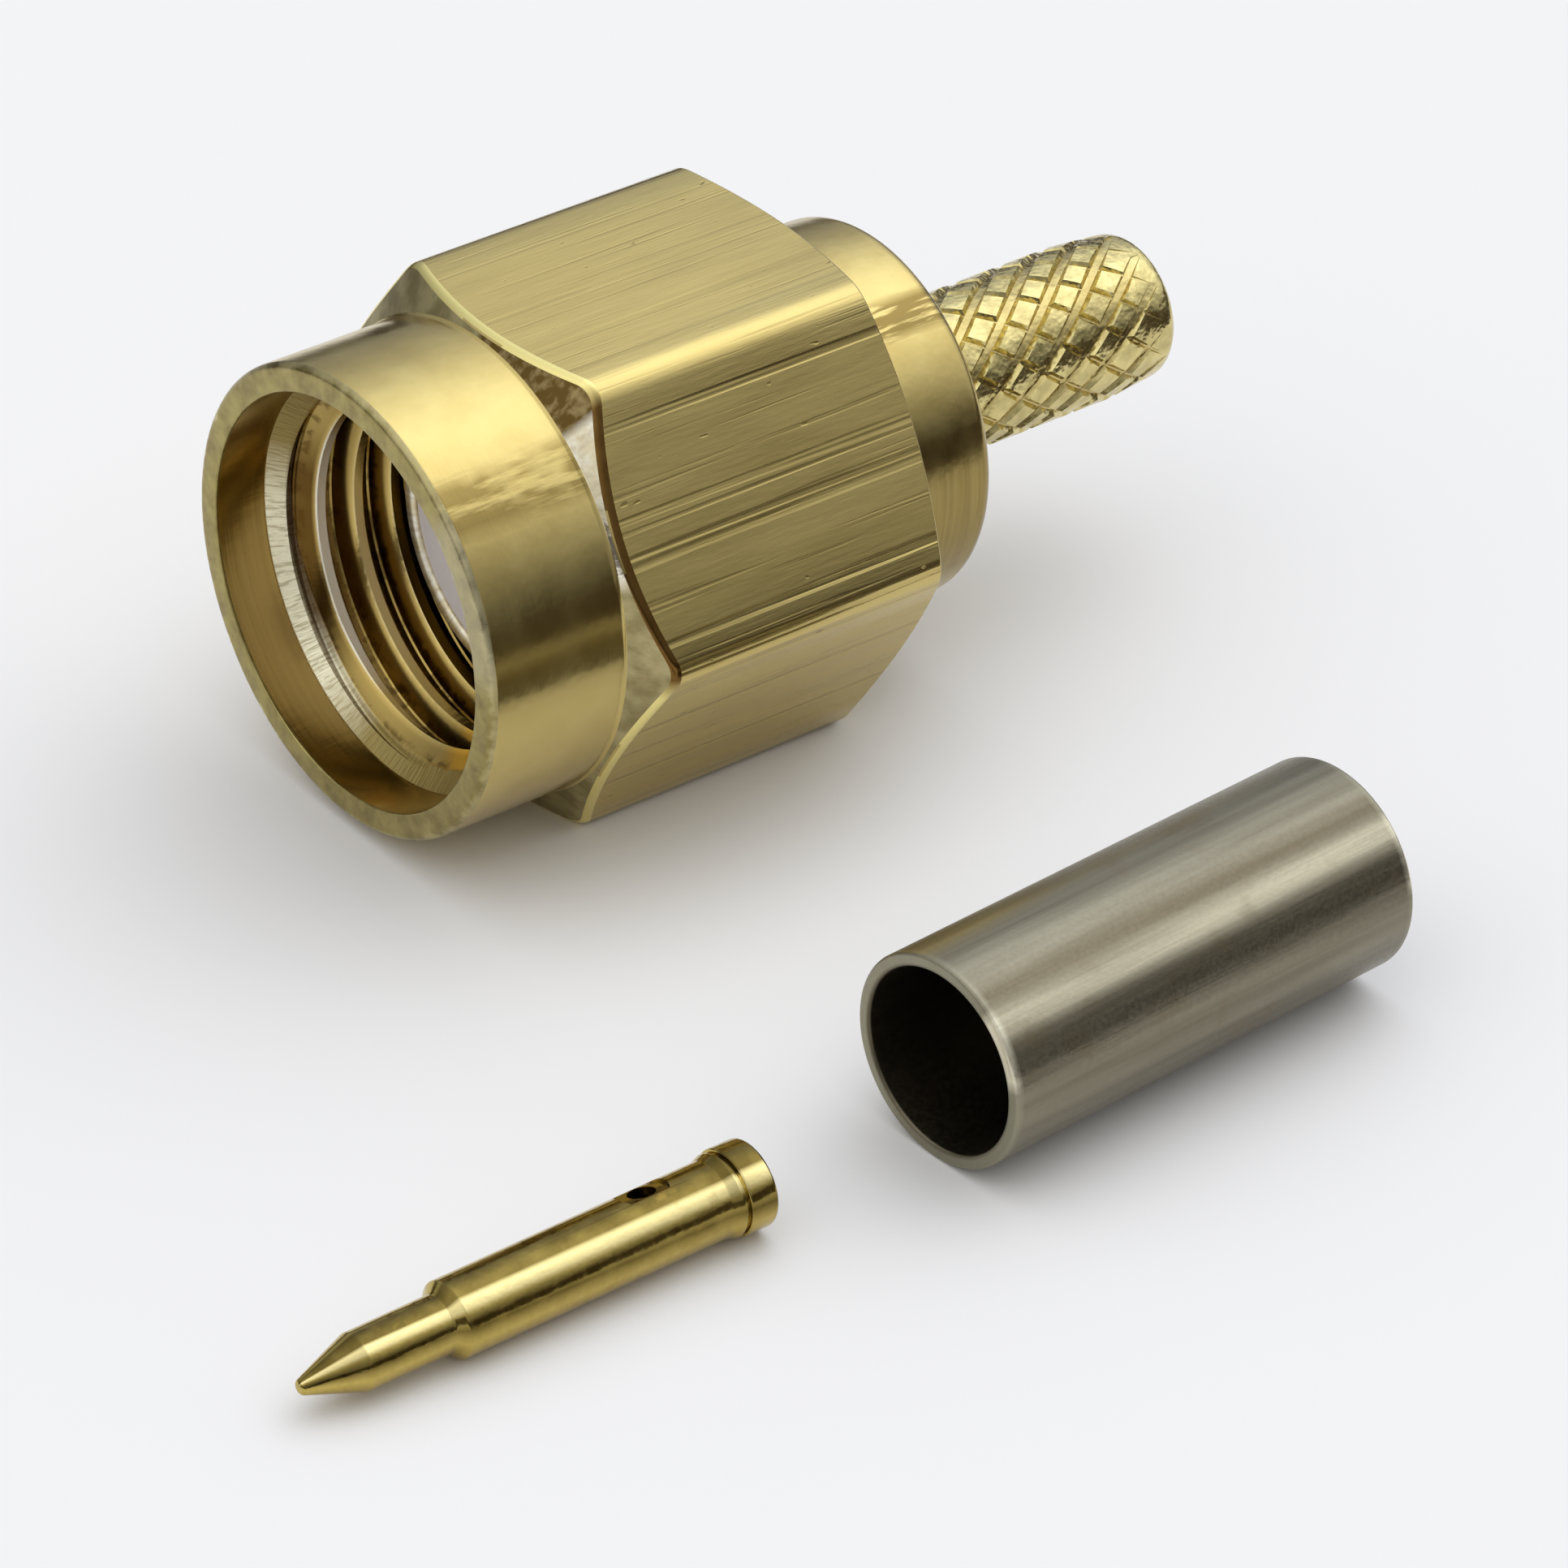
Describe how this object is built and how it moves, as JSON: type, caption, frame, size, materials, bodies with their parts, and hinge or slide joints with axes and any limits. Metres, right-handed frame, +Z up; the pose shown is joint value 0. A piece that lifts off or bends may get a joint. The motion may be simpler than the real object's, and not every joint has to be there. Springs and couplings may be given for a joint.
{
  "type": "SMA connector",
  "caption": "Male SMA plug for crimped coaxial cable: hexagonal coupling nut, bored body with a knurled crimp stem, loose centre contact and crimp ferrule.",
  "frame": {"origin": "on the surface that the nut lies on, straight below the connector's axis and 4.2 mm behind the nose's front face; the mating reference plane, which is the outer conductor sleeve's front face, is at X = -1.4 mm", "axes": "+X along the connector's axis from the nose to the crimp stem, +Z up, the nut's lowest flat facing -Z"},
  "size_m": [0.0248, 0.0182, 0.008],
  "materials": {
    "gold_plated_nut": "satin gold plating",
    "gold_plated_body": "satin gold plating",
    "ptfe": "matte",
    "spring_ring": "plain",
    "gold_plated_contact": "bright gold plating",
    "nickel_plated_ferrule": "satin nickel plating"
  },
  "bodies": {
    "plug_body": {"connector_body": "gold_plated_body", "insulator": "ptfe", "retaining_ring": "spring_ring", "crimp_ferrule": "nickel_plated_ferrule", "centre_contact": "gold_plated_contact"},
    "nut": {"coupling_nut": "gold_plated_nut"}
  },
  "joints": [
    {"name": "nut_turn", "type": "hinge", "parent": "plug_body", "child": "nut", "pos_m": [0, 0, 0.004], "axis": [1, 0, 0], "continuous": true}
  ]
}
